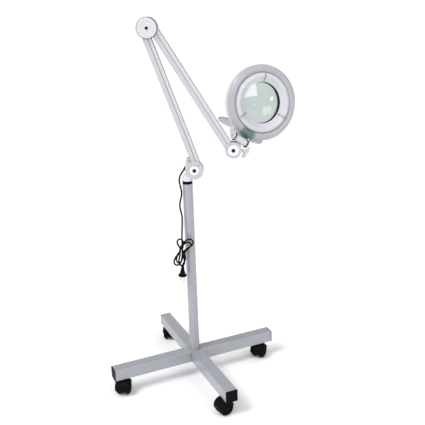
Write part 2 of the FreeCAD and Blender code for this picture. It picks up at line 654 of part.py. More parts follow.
def make_knuckle():
    pins = [UPPER_END, UPPER_END_2]
    holes = Part.makeCompound([pin_along_y(p, ARM_PIN_R, 20) for p in pins] + [pin_along_y(KNUCKLE_BOLT, BOLT_R, 20)])
    x, z = KNUCKLE_BOLT
    plates = []
    for y_from in (-PLATE_OUT, PLATE_IN):
        disc = cylinder((x, y_from, z), (0, 1, 0), KNUCKLE_DISC_R, PLATE_OUT - PLATE_IN)
        plates.append(disc.cut(holes))
    save("knuckle_plates", *plates)
    save("knuckle_pins", *[pin_along_y(p, ARM_PIN_R, PLATE_OUT) for p in pins])
    washers = [
        washer_along_y(KNUCKLE_BOLT, BOLT_R, 16.0, -PLATE_OUT - 1.8, 1.8),
        washer_along_y(KNUCKLE_BOLT, BOLT_R, 16.0, PLATE_OUT, 1.8),
    ]
    save("knuckle_washers", *washers)
    save("knuckle_bolt", bolt_along_y(KNUCKLE_BOLT, PLATE_OUT + 1.8, BOLT_HEAD_R, 3.6, 5.6))
    socket = Part.makeCylinder(SOCKET_R, SOCKET_TOP + 8.0, Vector(0, 0, -8.0), Z_AXIS)
    socket = socket.cut(Part.makeCylinder(STEM_PIN_R + RUNNING, 40, Vector(0, 0, 5.0), Z_AXIS))
    socket = socket.cut(Part.makeCylinder(3.0 + RUNNING, 20, Vector(0, 0, KNOB_ALONG), X_AXIS))
    socket = placed(socket, SWIVEL_FRAME)
    cheeks = hull_plate([(x, z, 9.0), (x + 6.0, z + 7.0, 7.0)], -PLATE_IN, PLATE_IN)
    round_core = placed(Part.makeCylinder(SOCKET_R, 80, Vector(0, 0, -40), Z_AXIS), SWIVEL_FRAME)
    socket = fuse([socket, cheeks.cut(round_core)]).cut(pin_along_y(KNUCKLE_BOLT, BOLT_R, 20))
    save("swivel_socket", socket)
    save("clamp_knob", star_knob())
    stem = Part.makeCylinder(STEM_PIN_R, BARREL_AT - 6.0, Vector(0, 0, 5.6), Z_AXIS)
    stem = placed(stem, SWIVEL_FRAME)
    half = BARREL_HALF - 0.15
    barrel = Part.makeCylinder(BARREL_R, 2 * half, Vector(0, 0, -half), Z_AXIS)
    barrel = placed(barrel, BARREL_FRAME)
    bore = placed(Part.makeCylinder(BOLT_R, 90, Vector(0, 0, -45), Z_AXIS), BARREL_FRAME)
    save("swivel_tee", fuse([stem, barrel]).cut(bore))


# ---------------------------------------------------------------- head
def neck_outline(inset):
    """Outline of the box beside the arm, on the head's rim, in the head's frame."""
    return [
        (-41.0 + inset, -84.0),
        (-41.0 + inset, -118.0 + inset),
        (-35.0 + inset, -124.0 + inset),
        (26.0, -121.0 + inset),
        (58.0 - inset, -112.5 + inset),
        (65.0 - inset, -104.0),
        (60.0 - inset, -84.0),
    ]


def on_head(shape):
    return placed(shape, HEAD)


def lens_shape():
    """Biconvex lens with a ground cylindrical edge."""
    half_edge = LENS_EDGE / 2
    curved_r = LENS_OPENING - 0.2
    sag = LENS_CURVE - math.sqrt(LENS_CURVE ** 2 - curved_r ** 2)
    middle = LENS_SEAT + half_edge
    mid_r = curved_r / 2
    mid_sag = sag - (LENS_CURVE - math.sqrt(LENS_CURVE ** 2 - mid_r ** 2))
    profile = [
        (0.0, middle - half_edge - sag),
        (mid_r, middle - half_edge - mid_sag, "arc"),
        (curved_r, middle - half_edge),
        (LENS_R, middle - half_edge),
        (LENS_R, middle + half_edge),
        (curved_r, middle + half_edge),
        (mid_r, middle + half_edge + mid_sag, "arc"),
        (0.0, middle + half_edge + sag),
    ]
    return revolved(profile)


def make_head_shell():
    bend = 10.0
    corner = bend * (1 - math.sqrt(0.5))
    back = SHELL_BACK
    outer = revolved([
        (0.0, back),
        (RIM_R - bend, back),
        (RIM_R - corner, back + corner, "arc"),
        (RIM_R, back + bend),
        (RIM_R, -6.0),
        (0.0, -6.0),
    ])
    wall = SHELL_WALL
    in_r = RIM_R - wall
    inner = revolved([
        (68.5, back + wall),
        (RIM_R - bend, back + wall),
        (in_r - corner * 0.84, back + wall + corner * 0.84, "arc"),
        (in_r, back + bend),
        (in_r, 0.0),
        (68.5, 0.0),
    ])
    box = extruded(neck_outline(0.0), back, -6.0)
    box_room = extruded(neck_outline(wall), back + wall, 0.0)
    collar = revolved([
        (COLLAR_R - 2.4, back - 4.0), (COLLAR_R, back - 4.0), (COLLAR_R, back - 2.2),
        (70.0, back), (70.0, back + 2), (COLLAR_R - 2.4, back + 2),
    ])
    shell = fuse([outer, box, collar])
    shell = shell.cut(fuse([inner, box_room.cut(cylinder((0, 0, -40), (0, 0, 1), 80, 60))]))
    shell = shell.cut(cylinder((0, 0, back - 5), (0, 0, 1), LENS_OPENING, 60))
    eyepiece_r = COLLAR_R - 2.4
    shell = shell.cut(cylinder((0, 0, back - 6), (0, 0, 1), eyepiece_r, LENS_SEAT - 2 - back + 6))
    shell = shell.cut(revolved([(0, LENS_SEAT), (70, LENS_SEAT), (70, 10), (0, 10)]))
    switch_hole = Part.makeBox(19.4, 9.4, 10, Vector(SWITCH_X - 9.7, SWITCH_Y - 4.7, back - 2))
    bolt_holes = [cylinder((x, -125 + 12, -19), (0, -1, 0), 2.0, 30) for x in (-24.0, 4.0)]
    return shell.cut(Part.makeCompound([switch_hole] + bolt_holes))


def make_neck_bracket(shell):
    """White metal bracket between the barrel and the head: a foot on the neck box and two ears."""
    barrel_x, barrel_y, barrel_z = BARREL_IN_HEAD.x, BARREL_IN_HEAD.y, BARREL_IN_HEAD.z
    solids = []
    for side in (-1, 1):
        near = BARREL_HALF + WASHER_THICK
        x_from = barrel_x + (near if side > 0 else -near - EAR_THICK)
        ear = [cylinder((x_from, barrel_y, barrel_z), (1, 0, 0), 10.6, EAR_THICK)]
        web = Part.makePolygon([
            Vector(x_from, barrel_y - 6.0, barrel_z + 8.7),
            Vector(x_from, -117.0, 0.0),
            Vector(x_from, -117.0, -27.0),
            Vector(x_from, -126.0, -27.0),
            Vector(x_from, barrel_y - 7.0, barrel_z - 8.0),
            Vector(x_from, barrel_y - 6.0, barrel_z + 8.7),
        ])
        ear.append(Part.Face(web).extrude(Vector(EAR_THICK, 0, 0)))
        solids.append(fuse(ear))
    reach = BARREL_HALF + WASHER_THICK + EAR_THICK
    foot = Part.makeBox(2 * reach, 6.6, 24.0, Vector(barrel_x - reach, -125.6, -27.0))
    bracket = fuse(solids + [foot])
    solid_shell = extruded(neck_outline(0.0), SHELL_BACK, 0.0)
    bracket = bracket.cut(solid_shell)
    bore = cylinder((barrel_x - 40, barrel_y, barrel_z), (1, 0, 0), BOLT_R, 80)
    swept = cylinder((barrel_x - reach + EAR_THICK, barrel_y, barrel_z), (1, 0, 0), WASHER_R + 1.0, 2 * (reach - EAR_THICK))
    bracket = bracket.cut(bore).cut(swept)
    bolt_holes = [cylinder((x, -100, -19), (0, -1, 0), 2.0, 40) for x in (-24.0, 4.0)]
    return bracket.cut(Part.makeCompound(bolt_holes))


def make_head():
    shell = make_head_shell()
    save("head_shell", on_head(shell))
    save("neck_bracket", on_head(make_neck_bracket(shell)))
    barrel_x, barrel_y, barrel_z = BARREL_IN_HEAD.x, BARREL_IN_HEAD.y, BARREL_IN_HEAD.z
    reach = BARREL_HALF + WASHER_THICK + EAR_THICK
    washers = []
    for side in (-1, 1):
        x_from = barrel_x + (BARREL_HALF if side > 0 else -BARREL_HALF - WASHER_THICK)
        ring = cylinder((x_from, barrel_y, barrel_z), (1, 0, 0), WASHER_R, WASHER_THICK)
        washers.append(on_head(ring.cut(cylinder((x_from - 1, barrel_y, barrel_z), (1, 0, 0), BOLT_R, 5))))
    save("friction_washers", *washers)
    shank = cylinder((barrel_x - reach, barrel_y, barrel_z), (1, 0, 0), BOLT_R - RUNNING, 2 * reach)
    ends = [
        cylinder((barrel_x - reach - 2.4, barrel_y, barrel_z), (1, 0, 0), 5.0, 2.4),
        cylinder((barrel_x + reach, barrel_y, barrel_z), (1, 0, 0), 5.0, 2.4),
    ]
    save("tilt_bolt", on_head(fuse([shank] + ends)))
    # lens, its rubber and the ring that holds it
    save("lens", on_head(lens_shape()))
    lip = LENS_SEAT + LENS_EDGE
    gasket = revolved([
        (LENS_R, LENS_SEAT), (66.2, LENS_SEAT), (66.2, RING_LIP_Z), (63.2, RING_LIP_Z),
        (63.2, lip + 0.8), (62.0, lip + 0.8), (62.0, lip), (LENS_R, lip),
    ])
    save("lens_gasket", on_head(gasket))
    ring = revolved([
        (66.2, LENS_SEAT), (70.5, LENS_SEAT), (76.0, 0.5), (83.0, 4.4, "arc"), (88.8, 1.0),
        (89.6, -4.2), (91.4, -4.2), (90.6, 2.0), (83.5, 6.6, "arc"), (74.0, 2.6),
        (62.8, RING_LIP_Z + 1.0), (62.8, RING_LIP_Z), (66.2, RING_LIP_Z),
    ])
    save("lens_ring", on_head(ring))
    clips = []
    for angle in CLIP_ANGLES:
        tab = revolved([
            (61.4, -7.2), (66.0, -6.0), (74.0, 1.2), (83.5, 5.0, "arc"), (88.0, 3.0),
            (88.0, 5.8), (83.5, 8.0, "arc"), (73.2, 3.8), (61.4, -4.4),
        ])
        solid_ring = revolved([
            (62.8, LENS_SEAT), (62.8, RING_LIP_Z + 1.0), (74.0, 2.6), (83.5, 6.6, "arc"), (90.6, 2.0), (91.0, LENS_SEAT),
        ])
        tab = tab.common(sector(angle - 1.8, angle + 1.8, 100, -20, 20)).cut(solid_ring)
        clips.append(on_head(tab))
    save("lens_clips", *clips)
    # light source
    torus = Part.makeTorus(LAMP_RING_R, LAMP_TUBE_R, Vector(0, 0, LAMP_Z), Z_AXIS)
    torus_bore = Part.makeTorus(LAMP_RING_R, LAMP_TUBE_R - 0.9, Vector(0, 0, LAMP_Z), Z_AXIS)
    base_sector = sector(-97.0, -77.0, 130, -30, 0)
    lamp_base = Part.makeTorus(LAMP_RING_R, 11.0, Vector(0, 0, LAMP_Z), Z_AXIS).common(base_sector)
    save("circline_lamp", on_head(torus.cut(torus_bore).cut(base_sector)), on_head(lamp_base))
    cradles = []
    for angle in CRADLE_ANGLES:
        block = revolved([(86.0, SHELL_BACK + SHELL_WALL), (108.0, SHELL_BACK + SHELL_WALL), (108.0, -17.0), (86.0, -17.0)])
        block = block.common(sector(angle - 4, angle + 4, 130, -40, 0))
        bend_room = revolved([(100.0, SHELL_BACK), (120, SHELL_BACK), (120, 0), (109.0, 0), (109, -20), (107, -26, "arc"), (100, -29.8)])
        cradles.append(on_head(block.cut(torus).cut(bend_room)))
    save("tube_cradles", *cradles)
    save("ballast", on_head(Part.makeBox(46.0, 8.6, 20.0, Vector(-22.0, -118.2, SHELL_BACK + SHELL_WALL))))
    # front cover, in two mouldings
    cover = revolved([
        (91.9, -3.5), (91.9, 0.5), (102.5, 5.6, "arc"), (112.0, 0.6), (114.5, -2.2, "arc"), (114.9, -6.0),
        (112.7, -6.0), (112.3, -3.4, "arc"), (110.7, -1.4), (102.5, 3.5, "arc"), (93.9, -1.0), (93.9, -3.5),
    ])
    lid = extruded(neck_outline(0.0), -6.0, -3.6).cut(cylinder((0, 0, -10), (0, 0, 1), RIM_R - 1.0, 20))
    cover = fuse([cover, lid])
    split = sector(TERMINAL_FROM, TERMINAL_TO, 150, -20, 20)
    save("front_cover", on_head(cover.cut(split)))
    save("terminal_cover", on_head(cover.common(split)))
    make_dust_cover()
    make_switch()


def make_dust_cover():
    """Disc that closes over the viewing side of the lens, standing open on its hinge."""
    turned = FreeCAD.Placement(Vector(0, 0, 0), FreeCAD.Rotation(Z_AXIS, DUST_HINGE_TURN))
    place = HEAD.multiply(turned)
    hinge_at = Vector(0, -DUST_HINGE_R, DUST_HINGE_Z)
    solids = [cylinder((-16.0, hinge_at.y, hinge_at.z), (1, 0, 0), 1.5, 32.0)]
    for x in (-16.0, 12.0):
        post = Part.makeBox(4.0, 6.0, 9.6, Vector(x, hinge_at.y - 3.0, SHELL_BACK - 9.6))
        solids.append(post.cut(cylinder((x - 1, hinge_at.y, hinge_at.z), (1, 0, 0), 1.5, 6)))
    save("dust_cover_hinge", *[placed(solid, place) for solid in solids])
    rim_r = DUST_COVER_R - 1.3
    leaf = revolved([
        (0.0, 0.2), (DUST_COVER_R - 1.6, 0.2), (DUST_COVER_R, 1.6),
        (DUST_COVER_R, 4.0), (rim_r, 4.0), (rim_r, 2.2), (0.0, 2.2),
    ])
    leaf.translate(Vector(0, DUST_HINGE_R, 0))
    barrel = cylinder((-11.5, 0, 0), (1, 0, 0), 3.0, 23.0)
    tongue = Part.makeBox(23.0, 10.0, 2.0, Vector(-11.5, 0.0, 0.2))
    leaf = fuse([leaf, barrel, tongue]).cut(cylinder((-40, 0, 0), (1, 0, 0), 1.5 + RUNNING, 80))
    leaf.rotate(Vector(0, 0, 0), X_AXIS, -DUST_OPEN)
    leaf.translate(hinge_at)
    save("dust_cover", placed(leaf, place))


def make_switch():
    """Rocker switch let into the viewing side of the shell."""
    centre = Vector(SWITCH_X, SWITCH_Y, SHELL_BACK)
    bezel = Part.makeBox(23.0, 13.0, 1.4, Vector(-11.5, -6.5, -1.4))
    body = Part.makeBox(19.4, 9.4, 5.4, Vector(-9.7, -4.7, 0.0))
    room = Part.makeBox(17.0, 7.4, 5.6, Vector(-8.5, -3.7, -1.4))
    pivot = cylinder((0, -4.4, 0.6), (0, 1, 0), 1.0 + RUNNING, 8.8)
    case = fuse([bezel, body]).cut(room).cut(pivot)
    rocker = extruded([
        (-7.9, -0.3), (-7.9, -3.4), (0.0, -1.0), (7.9, -1.6), (7.9, 1.5), (0.0, 2.4),
    ], -3.4, 3.4)
    rocker.rotate(Vector(0, 0, 0), X_AXIS, 90)
    rocker.translate(Vector(0, 0, 0.6))
    rocker = fuse([rocker, cylinder((0, -4.2, 0.6), (0, 1, 0), 1.0, 8.4)])
    for name, solid in (("switch_bezel", case), ("switch_rocker", rocker)):
        solid.translate(centre)
        save(name, on_head(solid))


# ---------------------------------------------------------------- mains lead
def swept_tube(route, radius):
    """Round cord through route: straight runs joined by tangent arcs. Returns (solid, length, radii)."""
    points = [Vector(*p) for p in route]
    edges = []
    radii = []
    start = points[0]
    length = 0.0
    for i in range(1, len(points) - 1):
        before = points[i] - points[i - 1]
        after = points[i + 1] - points[i]
        turn = before.getAngle(after)
        trim = 0.45 * min(before.Length, after.Length)
        arc_r = trim / math.tan(turn / 2)
        radii.append(arc_r)
        enter = points[i] - before.normalize() * trim
        leave = points[i] + after.normalize() * trim
        bisector = ((enter + leave) * 0.5 - points[i]).normalize()
        centre_distance = arc_r / math.cos(turn / 2)
        middle = points[i] + bisector * (centre_distance - arc_r)
        edges.append(Part.LineSegment(start, enter).toShape())
        edges.append(Part.Arc(enter, middle, leave).toShape())
        length += (enter - start).Length + arc_r * turn
        start = leave
    edges.append(Part.LineSegment(start, points[-1]).toShape())
    length += (points[-1] - start).Length
    path = Part.Wire(edges)
    section = Part.Wire(Part.makeCircle(radius, points[0], points[1] - points[0]))
    tube = path.makePipeShell([section], True, False)
    return tube, length, radii


def make_cord(plug):
    tube, length, radii = swept_tube(CORD_ROUTE, CORD_R)
    expected = math.pi * CORD_R ** 2 * length
    print("cord length %.1f  volume %.1f  section x length %.1f" % (length, tube.Volume, expected))
    print("cord arc radii " + " ".join("%.0f" % r for r in radii))
    save("mains_lead", tube)
    start, after = Vector(*CORD_ROUTE[0]), Vector(*CORD_ROUTE[1])
    out = (after - start).normalize()
    grommet = Part.makeCone(5.4, 3.9, 9.0, start - out * 5.0, out)
    grommet = grommet.cut(Part.makeCylinder(CORD_R, 30, start - out * 15.0, out))
    save("cord_grommet", grommet)
    save("lead_hank", hank_shape().cut(plug).cut(tube))


def hank_shape():
    """Outer shape of the tied lead: two loops standing up from the knot and two hanging down."""
    lobes = [
        [(-30.0, 481.5, 12.0), (0.5, 483.0, 13.0), (-25.0, 457.0, 9.0)],
        [(-26.0, 458.0, 9.0), (-42.0, 413.0, 12.5), (-27.0, 416.0, 12.5)],
    ]
    return fuse([hull_plate(lobe, HANK_FRONT, HANK_BACK) for lobe in lobes])


def make_plug():
    """Two-pin plug hanging under the hank, turned partly side-on."""
    top, tip = Vector(*PLUG_TOP), Vector(*PLUG_TIP)
    down = (tip - top).normalize()
    length = (tip - top).Length
    across = Vector(math.cos(math.radians(PLUG_TURN)), math.sin(math.radians(PLUG_TURN)), 0)
    place = frame(top, across, down)
    body = Part.makeCone(4.2, 5.8, 0.45 * length, Vector(0, 0, 0), Z_AXIS)
    mid = Part.makeCone(5.8, 9.8, 0.40 * length, Vector(0, 0, 0.45 * length), Z_AXIS)
    base = Part.makeCylinder(9.8, 0.15 * length, Vector(0, 0, 0.85 * length), Z_AXIS)
    flange = Part.makeCylinder(13.2, 4.2, Vector(0, 0, length - 4.2), Z_AXIS)
    body = fuse([body, mid, base, flange])
    pins = []
    for side in (-1, 1):
        pin = Part.makeCylinder(2.2, 21.0, Vector(side * 9.5, 0, length - 3.0), Z_AXIS)
        body = body.cut(pin)
        pins.append(placed(pin, place))
    save("power_plug", placed(body, place))
    save("plug_pins", *pins)
    return placed(body, place)


def main():
    os.makedirs(OUT, exist_ok=True)
    azimuths = make_base()
    make_post()
    make_casters(azimuths)
    make_bracket()
    make_arms()
    make_elbow()
    make_knuckle()
    make_head()
    make_cord(make_plug())


main()
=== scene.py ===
import bpy
import bmesh
import math
from mathutils import Matrix, Vector


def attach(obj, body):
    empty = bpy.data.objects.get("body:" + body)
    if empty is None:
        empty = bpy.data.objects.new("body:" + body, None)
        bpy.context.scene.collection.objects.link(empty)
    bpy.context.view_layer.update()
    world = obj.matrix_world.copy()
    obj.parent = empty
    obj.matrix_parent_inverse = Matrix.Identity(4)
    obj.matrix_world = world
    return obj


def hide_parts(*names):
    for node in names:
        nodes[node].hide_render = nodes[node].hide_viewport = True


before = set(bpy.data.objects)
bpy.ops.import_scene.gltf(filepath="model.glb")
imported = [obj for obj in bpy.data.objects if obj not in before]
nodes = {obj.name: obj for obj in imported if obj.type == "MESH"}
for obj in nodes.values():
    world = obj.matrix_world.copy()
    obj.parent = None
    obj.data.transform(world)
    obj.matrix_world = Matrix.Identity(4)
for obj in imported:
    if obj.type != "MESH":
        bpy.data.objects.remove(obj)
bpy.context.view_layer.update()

MM = 0.001

# ---------------------------------------------------------------- camera
CAMERA_AT = Vector((0.1143, -1.8848, 1.1694))
CAMERA_YAW = 1.217
CAMERA_PITCH = -17.709
CAMERA_ROLL = -1.826
CAMERA_LENS = 53.44


def make_camera():
    data = bpy.data.cameras.new("camera")
    data.lens = CAMERA_LENS
    data.sensor_width = 36.0
    data.clip_end = 60.0
    camera = bpy.data.objects.new("camera", data)
    turn = Matrix.Rotation(math.radians(CAMERA_YAW), 4, "Z")
    turn = turn @ Matrix.Rotation(math.radians(90.0 + CAMERA_PITCH), 4, "X")
    turn = turn @ Matrix.Rotation(math.radians(CAMERA_ROLL), 4, "Z")
    camera.matrix_world = Matrix.Translation(CAMERA_AT) @ turn
    bpy.context.scene.collection.objects.link(camera)
    bpy.context.scene.camera = camera


make_camera()

# ---------------------------------------------------------------- mains lead
CORD_R = 2.6
# down beside the post, in mm: the same points as the solid lead's route
LEAD = [
    (-6.0, 0.0, 711.5),
    (-21.0, -1.0, 694.0),
    (-26.0, -4.5, 675.0),
    (-21.5, -10.0, 655.0),
    (-17.5, -14.0, 635.0),
    (-24.0, -14.5, 613.0),
    (-27.0, -13.5, 592.0),
    (-21.0, -15.0, 569.0),
    (-20.5, -17.5, 545.0),
    (-22.5, -20.5, 520.0),
    (-24.0, -25.0, 488.0),
]
# the tied hank: a big loop down left, a small one up left, one down, a big one up right, one down,
# and an inner one to the right
HANK = [
    (-23.5, -25.0, 470.0), (-23.5, -25.0, 455.0), (-24.5, -25.0, 438.0), (-27.5, -25.0, 421.0),
    (-33.0, -25.0, 407.0), (-42.0, -25.0, 401.5), (-51.0, -26.0, 406.0), (-52.5, -27.0, 417.0),
    (-47.0, -28.0, 430.0), (-39.0, -29.5, 441.0), (-32.0, -30.5, 451.0), (-30.0, -30.5, 462.0),
    (-35.0, -30.5, 471.0), (-40.0, -30.5, 481.0), (-35.0, -31.0, 492.0), (-24.0, -31.5, 493.0),
    (-18.5, -32.5, 483.0), (-21.0, -34.5, 469.0), (-24.0, -36.0, 457.0), (-24.0, -36.0, 444.0),
    (-24.5, -36.0, 430.0), (-29.0, -36.0, 416.0), (-39.0, -36.0, 414.0), (-44.5, -36.0, 424.0),
    (-41.0, -36.0, 437.0), (-33.0, -36.0, 448.0), (-30.0, -36.0, 459.0), (-27.0, -37.0, 471.0),
    (-18.0, -38.5, 484.0), (-5.0, -39.0, 494.5), (9.0, -39.0, 493.0), (13.0, -39.0, 480.0),
    (2.0, -39.0, 469.0), (-11.0, -39.0, 462.0), (-21.0, -41.0, 453.0), (-20.5, -41.5, 440.0),
    (-18.0, -41.5, 426.0), (-18.0, -41.5, 412.0), (-27.0, -41.5, 406.0), (-36.0, -41.5, 413.0),
    (-35.0, -41.5, 428.0), (-31.0, -41.5, 443.0), (-30.0, -41.8, 458.0), (-25.0, -43.0, 471.0),
    (-14.0, -44.0, 484.0), (1.0, -44.0, 488.0), (7.0, -44.0, 476.0), (-3.0, -44.0, 466.0),
    (-14.0, -44.0, 457.0), (-16.0, -43.0, 444.0), (-14.0, -38.0, 431.0), (-18.0, -34.0, 419.0),
]
PLUG_TOP = (-24.5, -33.0, 407.0)


def make_cord():
    points = [Vector(p) * MM for p in LEAD + HANK + [PLUG_TOP]]
    curve = bpy.data.curves.new("mains_cord", "CURVE")
    curve.dimensions = "3D"
    curve.bevel_depth = 1.0     # times each point's radius, which also sizes the curve's box
    curve.bevel_resolution = 5
    curve.resolution_u = 8
    spline = curve.splines.new("NURBS")
    spline.points.add(len(points) - 1)
    for point, place in zip(spline.points, points):
        point.co = (place.x, place.y, place.z, 1.0)
        point.radius = CORD_R * MM
    spline.order_u = 3
    spline.use_endpoint_u = True
    cord = bpy.data.objects.new("mains_cord", curve)
    bpy.context.scene.collection.objects.link(cord)
    return cord


cord = make_cord()
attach(cord, "swivel_bracket")
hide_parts("mains_lead", "lead_hank")


# ---------------------------------------------------------------- materials
def node_material(name):
    material = bpy.data.materials.new(name)
    material.use_nodes = True
    tree = material.node_tree
    shader = tree.nodes["Principled BSDF"]
    return material, tree, shader


def link(tree, source, target):
    tree.links.new(source, target)


def noise(tree, place, scale, detail=3.0, rough=0.5):
    node = tree.nodes.new("ShaderNodeTexNoise")
    node.inputs["Scale"].default_value = scale
    node.inputs["Detail"].default_value = detail
    node.inputs["Roughness"].default_value = rough
    link(tree, place, node.inputs["Vector"])
    return node.outputs["Fac"]


def remap(tree, value, low, high, to_low, to_high):
    node = tree.nodes.new("ShaderNodeMapRange")
    node.inputs["From Min"].default_value = low
    node.inputs["From Max"].default_value = high
    node.inputs["To Min"].default_value = to_low
    node.inputs["To Max"].default_value = to_high
    link(tree, value, node.inputs["Value"])
    return node.outputs["Result"]


def mix_colour(tree, factor, first, second):
    node = tree.nodes.new("ShaderNodeMix")
    node.data_type = "RGBA"
    link(tree, factor, node.inputs["Factor"])
    for socket, value in ((node.inputs["A"], first), (node.inputs["B"], second)):
        if isinstance(value, tuple):
            socket.default_value = (*value, 1.0)
        else:
            link(tree, value, socket)
    return node.outputs["Result"]


def number_math(tree, operation, first, second=None):
    node = tree.nodes.new("ShaderNodeMath")
    node.operation = operation
    link(tree, first, node.inputs[0])
    if isinstance(second, float):
        node.inputs[1].default_value = second
    elif second is not None:
        link(tree, second, node.inputs[1])
    return node.outputs["Value"]


def vector_math(tree, operation, first, second):
    node = tree.nodes.new("ShaderNodeVectorMath")
    node.operation = operation
    link(tree, first, node.inputs[0])
    node.inputs[1].default_value = second
    return node.outputs["Value"]


def object_place(tree):
    return tree.nodes.new("ShaderNodeTexCoord").outputs["Object"]


DRIFT_SCALE = 9.0           # slow drift of the colour, in cycles per metre
SMUDGE_SCALE = 55.0         # handling marks
COAT_ROUGH = 0.15
SCATTER = (0.006, 0.006, 0.006)
GRAIN_DEPTH = 0.0004


def coated(
    name, colour, rough, metallic=0.0, coat=0.0, drift=0.06, grain=1800.0, bump=0.04, dirt=None,
    subsurface=0.0, specular=0.5, tints=(), stripes=(),
):
    """Paint or moulded plastic: slow colour drift, fine grain in the normal, uneven gloss and faint grime.

    Each of tints is (place, near, far, colour): the colour shows through within near, and is gone by far.
    Each of stripes is (place, direction, near, far, colour): the same about the plane through place that
    direction crosses squarely.
    """
    material, tree, shader = node_material(name)
    place = object_place(tree)
    slow = noise(tree, place, DRIFT_SCALE, 2.0)
    paler = tuple(min(1.0, c * (1 + drift)) for c in colour)
    darker = tuple(c * (1 - drift) for c in colour)
    base = mix_colour(tree, remap(tree, slow, 0.3, 0.7, 0.0, 1.0), darker, paler)
    smudge = noise(tree, place, SMUDGE_SCALE, 6.0, 0.65)
    if dirt:
        base = mix_colour(tree, remap(tree, smudge, 0.58, 0.78, 0.0, 0.35), base, dirt)
    for middle, near, far, shade in tints:
        away = vector_math(tree, "DISTANCE", place, middle)
        base = mix_colour(tree, remap(tree, away, near, far, 1.0, 0.0), base, shade)
    for middle, direction, near, far, shade in stripes:
        reach = vector_math(tree, "DOT_PRODUCT", place, direction)
        gap = number_math(tree, "SUBTRACT", reach, middle.dot(direction))
        width = number_math(tree, "ABSOLUTE", gap)
        base = mix_colour(tree, remap(tree, width, near, far, 1.0, 0.0), base, shade)
    link(tree, base, shader.inputs["Base Color"])
    shader.inputs["Specular IOR Level"].default_value = specular
    gloss = remap(tree, smudge, 0.3, 0.7, rough * 0.85, min(1.0, rough * 1.18))
    link(tree, gloss, shader.inputs["Roughness"])
    shader.inputs["Metallic"].default_value = metallic
    shader.inputs["Coat Weight"].default_value = coat
    shader.inputs["Coat Roughness"].default_value = COAT_ROUGH
    if subsurface:
        shader.inputs["Subsurface Weight"].default_value = subsurface
        shader.inputs["Subsurface Radius"].default_value = SCATTER
    fine = noise(tree, place, grain, 2.0)
    relief = tree.nodes.new("ShaderNodeBump")
    relief.inputs["Strength"].default_value = bump
    relief.inputs["Distance"].default_value = GRAIN_DEPTH
    link(tree, fine, relief.inputs["Height"])
    link(tree, relief.outputs["Normal"], shader.inputs["Normal"])
    return material


SCRATCH_STRETCH = (1.0, 30.0, 1.0)
SCRATCH_SCALE = 160.0


def brushed(name, colour, rough):
    """Plated or machined metal with fine scratches, all running one way."""
    material, tree, shader = node_material(name)
    place = object_place(tree)
    stretch = tree.nodes.new("ShaderNodeMapping")
    stretch.inputs["Scale"].default_value = SCRATCH_STRETCH
    link(tree, place, stretch.inputs["Vector"])
    lines = noise(tree, stretch.outputs["Vector"], SCRATCH_SCALE, 4.0)
    darker = tuple(c * 0.8 for c in colour)
    link(tree, mix_colour(tree, lines, darker, colour), shader.inputs["Base Color"])
    link(tree, remap(tree, lines, 0.3, 0.7, rough * 0.7, rough * 1.4), shader.inputs["Roughness"])
    shader.inputs["Metallic"].default_value = 1.0
    return material


def rubber(name, colour, rough):
    """Dull black rubber with dust in its grain."""
    return coated(
        name, colour, rough, drift=0.15, grain=900.0, bump=0.12, dirt=(0.012, 0.012, 0.012), specular=0.04
    )


GLASS_INDEX = 1.52
GLASS_HAZE = 0.02           # roughness of the greasy film, where it is thickest


def glass(name, tint):
    """Clear glass with a faint uneven film."""
    material, tree, shader = node_material(name)
    place = object_place(tree)
    film = noise(tree, place, 14.0, 4.0)
    paler = tuple(min(1.0, c * 1.03) for c in tint)
    link(tree, mix_colour(tree, film, tint, paler), shader.inputs["Base Color"])
    link(tree, remap(tree, film, 0.55, 0.8, 0.0, GLASS_HAZE), shader.inputs["Roughness"])
    shader.inputs["Transmission Weight"].default_value = 1.0
    shader.inputs["IOR"].default_value = GLASS_INDEX
    return material


# ---- where the head is, in metres: its rim's centre, and the way it faces
HEAD_CENTRE = Vector((0.2373, 0.0548, 0.8979))
HEAD_AZIMUTH = math.radians(-65.9)
HEAD_ELEVATION = math.radians(6.6)
HEAD_ROLL = math.radians(-126.0)


def head_matrix():
    out = Vector((
        math.cos(HEAD_ELEVATION) * math.cos(HEAD_AZIMUTH),
        math.cos(HEAD_ELEVATION) * math.sin(HEAD_AZIMUTH),
        math.sin(HEAD_ELEVATION),
    ))
    level = Vector((-out.y, out.x, 0.0)).normalized()
    up = out.cross(level)
    tangent = -math.sin(HEAD_ROLL) * level + math.cos(HEAD_ROLL) * up
    away = out.cross(tangent)
    turn = Matrix((tangent, away, out)).transposed().to_4x4()
    return Matrix.Translation(HEAD_CENTRE) @ turn


HEAD = head_matrix()


def on_head(radius, degrees, height):
    angle = math.radians(degrees)
    return HEAD @ Vector((radius * math.cos(angle), radius * math.sin(angle), height))


# coloured patch seen through the cover by the handle, and painted shade at its lower edge, where the gap
# between the bracket and the head lies in shadow
TEAL_TINT = (on_head(0.106, -88.0, 0.0), 0.019, 0.030, (0.10, 0.17, 0.165))
TEAL_PAINTED_SHADE = (on_head(0.124, -88.0, -0.006), 0.004, 0.014, (0.012, 0.02, 0.02))

BASE_GREY = coated(
    "base_grey", (0.365, 0.37, 0.405), 0.32, metallic=0.35, coat=0.2, drift=0.03, dirt=(0.33, 0.33, 0.37)
)
ARM_WHITE = coated(
    "arm_white", (0.60, 0.605, 0.635), 0.36, coat=0.2, drift=0.02, bump=0.03, dirt=(0.62, 0.62, 0.64)
)
